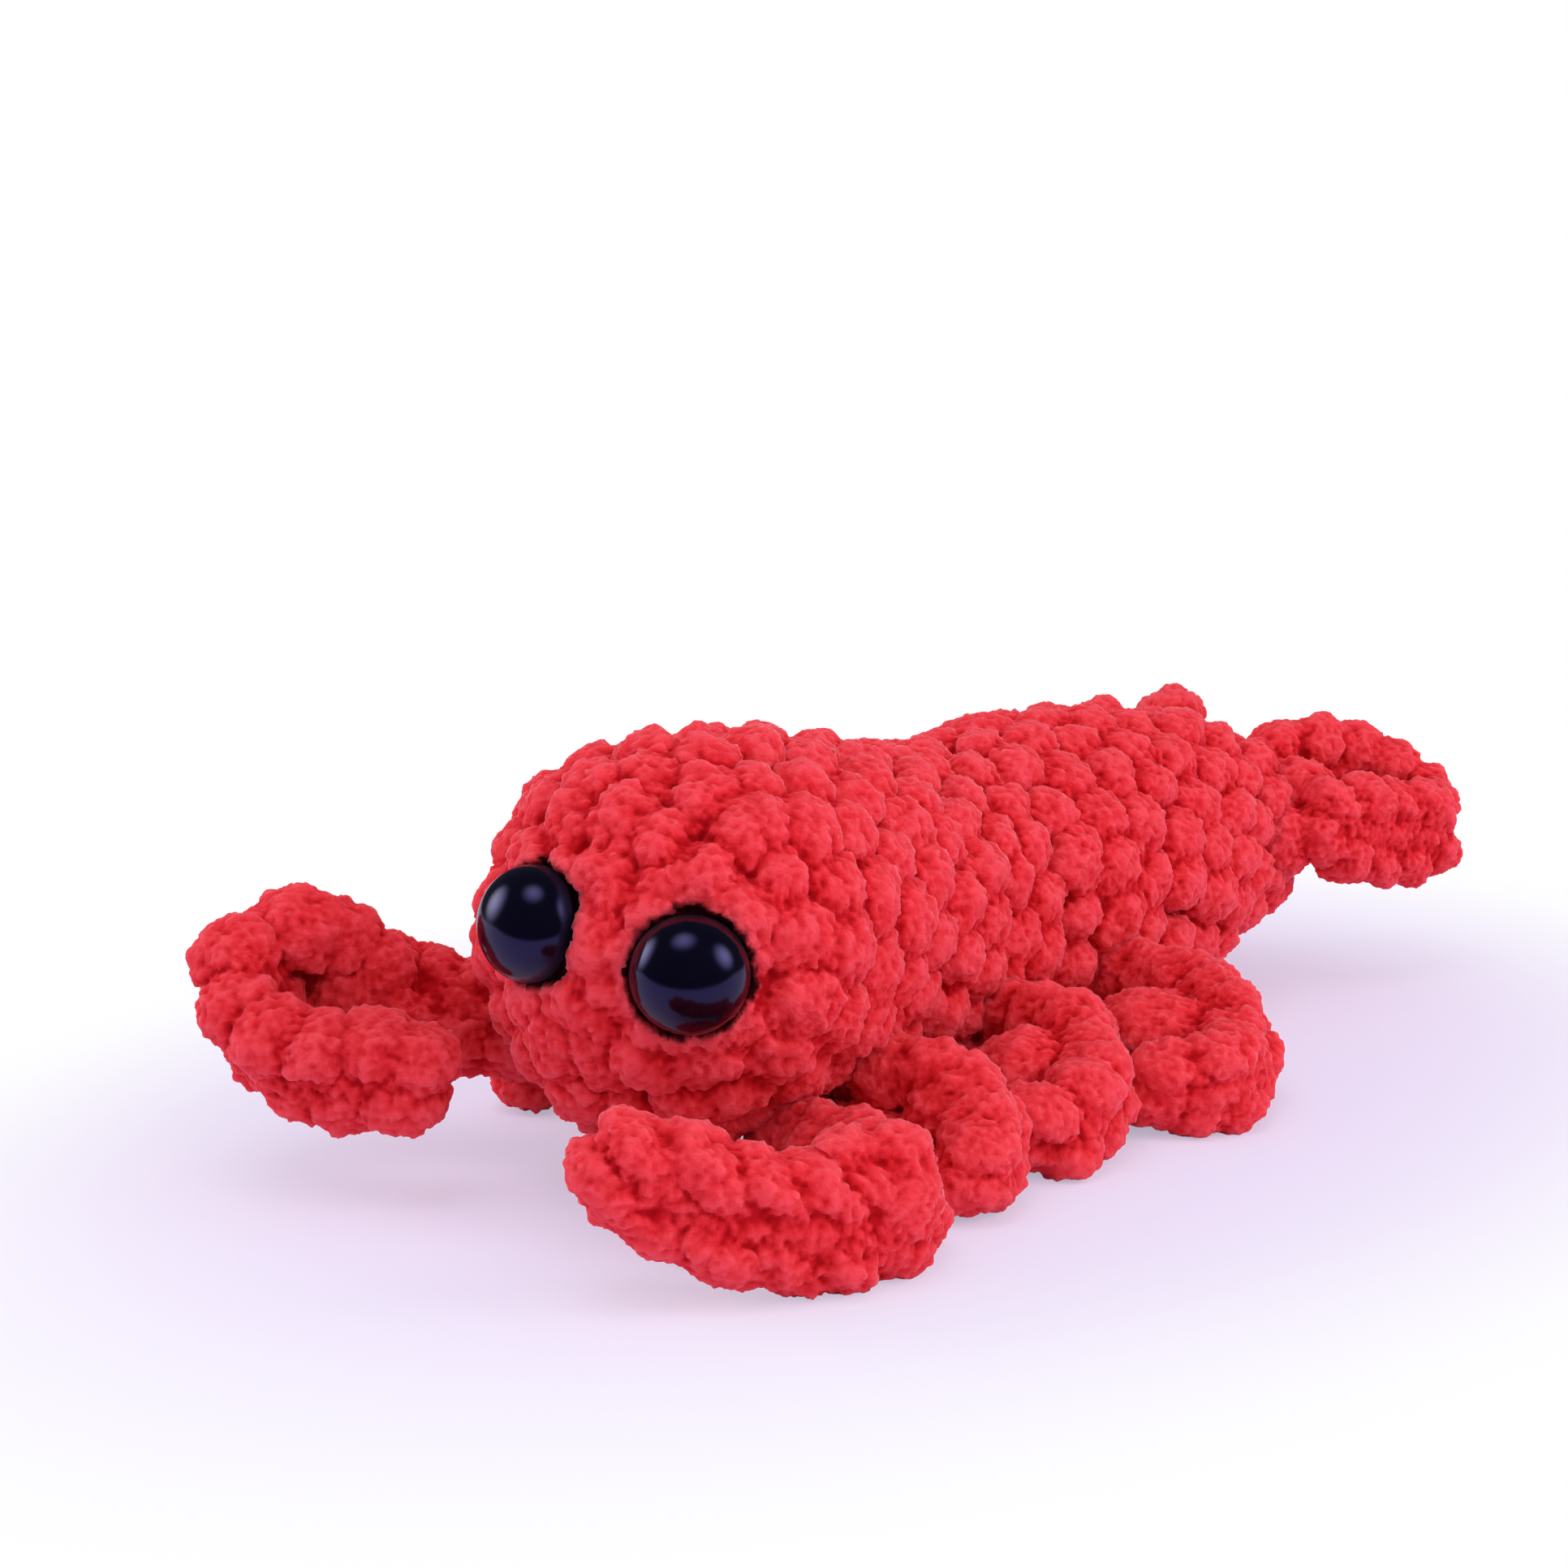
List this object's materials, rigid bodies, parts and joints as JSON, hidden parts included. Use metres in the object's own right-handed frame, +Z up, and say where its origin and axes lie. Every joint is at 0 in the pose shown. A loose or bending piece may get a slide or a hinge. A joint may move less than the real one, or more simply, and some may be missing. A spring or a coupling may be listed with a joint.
{
  "type": "crochet lobster plush",
  "caption": "Hand-crocheted lobster soft toy in plush chenille yarn, with a stuffed body, curled claws and legs, a looped tail fan and domed safety eyes.",
  "frame": {"origin": "middle of the footprint, on the floor that the belly, legs and left claw rest on", "axes": "+Y along the body from head to tail, +X to the lobster's left, +Z up"},
  "size_m": [0.0942, 0.187, 0.0495],
  "materials": {
    "red_chenille_yarn": "matte plush pile",
    "polyester_fibre": "loose matte fibre",
    "black_eye_plastic": "high gloss",
    "white_washer_plastic": "satin"
  },
  "bodies": {
    "root": {"body_cover": "red_chenille_yarn", "stuffing": "polyester_fibre", "eye_left": "black_eye_plastic", "eye_right": "black_eye_plastic", "eye_washer_left": "white_washer_plastic", "eye_washer_right": "white_washer_plastic", "claw_left": "red_chenille_yarn", "claw_right": "red_chenille_yarn", "leg_left_front": "red_chenille_yarn", "leg_left_middle": "red_chenille_yarn", "leg_left_rear": "red_chenille_yarn", "leg_right_front": "red_chenille_yarn", "leg_right_middle": "red_chenille_yarn", "leg_right_rear": "red_chenille_yarn", "tail_fin_left": "red_chenille_yarn", "tail_fin_right": "red_chenille_yarn"}
  },
  "joints": []
}
